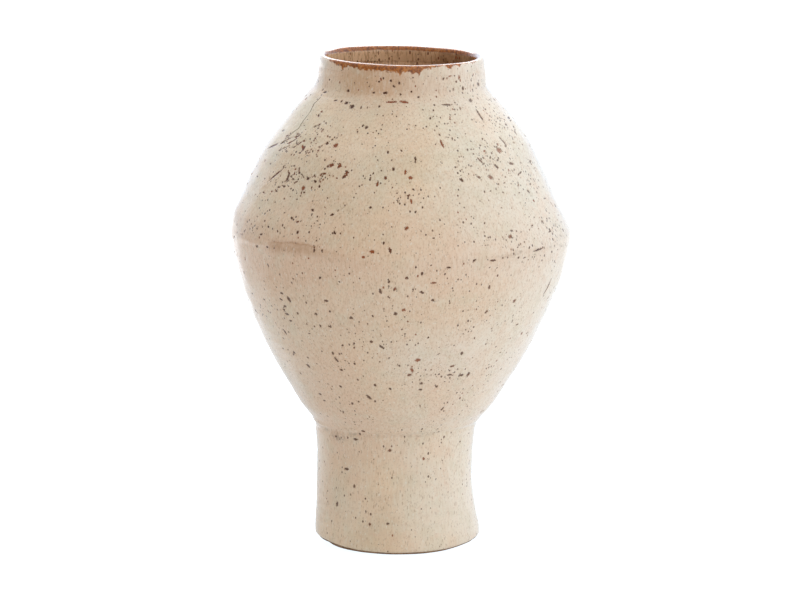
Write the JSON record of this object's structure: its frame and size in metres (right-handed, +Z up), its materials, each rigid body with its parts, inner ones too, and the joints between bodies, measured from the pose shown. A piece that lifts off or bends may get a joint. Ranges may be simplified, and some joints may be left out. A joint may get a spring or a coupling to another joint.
{
  "type": "vase",
  "caption": "Hand-built stoneware vase with a tall cylindrical foot, a round body widest at a mid seam and a short collar neck, in speckled cream glaze with an amber lip band.",
  "frame": {"origin": "centre of the foot on the surface it stands on, which is the bottom centre of the whole pot's box", "axes": "+Z up through the mouth, -Y towards the pictured front, +X to its right"},
  "size_m": [0.2499, 0.2496, 0.3616],
  "materials": {
    "bare_clay": "bare fired iron-bearing stoneware, rough",
    "body_clay": "fired stoneware under the glaze, matte",
    "luting_clay": "fired luting clay, matte",
    "cream_glaze": "glossy cream glaze with dark iron speckles",
    "liner_glaze": "satin tan liner glaze with dark speckles",
    "iron_glaze": "glossy amber-brown iron glaze"
  },
  "bodies": {
    "root": {"base_slab": "bare_clay", "base_coil": "luting_clay", "foot_wall": "body_clay", "foot_coil": "luting_clay", "lower_wall": "body_clay", "belly_coil": "luting_clay", "upper_wall": "body_clay", "neck_coil": "luting_clay", "neck_wall": "body_clay", "outer_glaze": "cream_glaze", "inner_glaze": "liner_glaze", "rim_glaze": "iron_glaze"}
  },
  "joints": []
}
